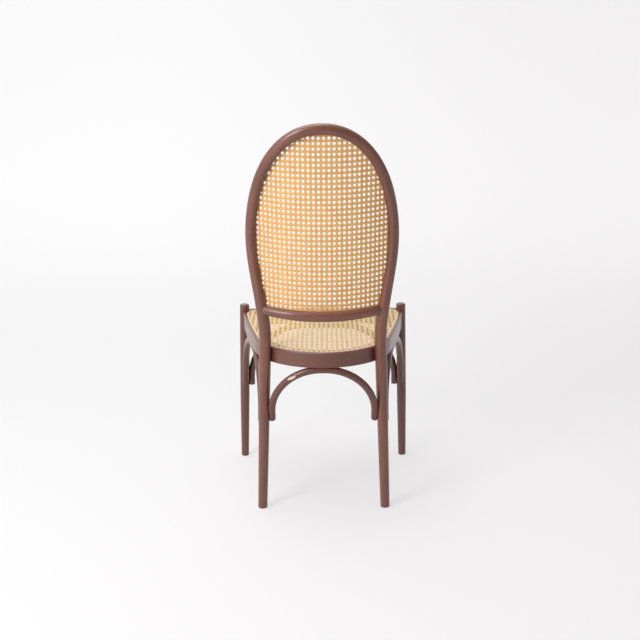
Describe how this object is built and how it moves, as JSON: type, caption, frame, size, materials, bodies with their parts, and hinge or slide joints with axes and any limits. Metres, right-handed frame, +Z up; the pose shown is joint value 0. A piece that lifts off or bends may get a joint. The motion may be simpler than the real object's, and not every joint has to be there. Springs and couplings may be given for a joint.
{
  "type": "bentwood chair",
  "caption": "Armless bentwood dining chair with a tall oval cane back, a cane seat in a bent ring, turned front legs and bent wooden arches under the seat",
  "frame": {"origin": "on the floor, under the middle of the chair's bounding box", "axes": "+Z up, +X to the sitter's left, the sitter faces -Y, so the back of the chair is at +Y"},
  "size_m": [0.4934, 0.5023, 1.0424],
  "materials": {
    "stained_beech": "dark reddish-brown stained bent beech, satin lacquer",
    "back_cane": "open woven rattan cane, orange-tan, dry and slightly glossy",
    "seat_cane": "open woven rattan cane, pale straw, dry and slightly glossy",
    "reed": "pale round rattan reed, bare",
    "dowel_wood": "bare beech dowel",
    "screw_steel": "browned steel wood screws"
  },
  "bodies": {
    "root": {"rear_hoop": "stained_beech", "back_crossrail": "stained_beech", "crossrail_dowels": "dowel_wood", "back_cane": "back_cane", "back_cane_reed": "reed", "seat_ring": "stained_beech", "seat_cane": "seat_cane", "seat_cane_reed": "reed", "front_leg_left": "stained_beech", "front_leg_right": "stained_beech", "rear_arch": "stained_beech", "front_arch": "stained_beech", "side_arch_left": "stained_beech", "side_arch_right": "stained_beech", "rear_leg_screws": "screw_steel", "front_leg_screws": "screw_steel", "rear_arch_screws": "screw_steel", "front_arch_screws": "screw_steel", "side_arch_left_screws": "screw_steel", "side_arch_right_screws": "screw_steel", "arch_crown_screws": "screw_steel"}
  },
  "joints": []
}
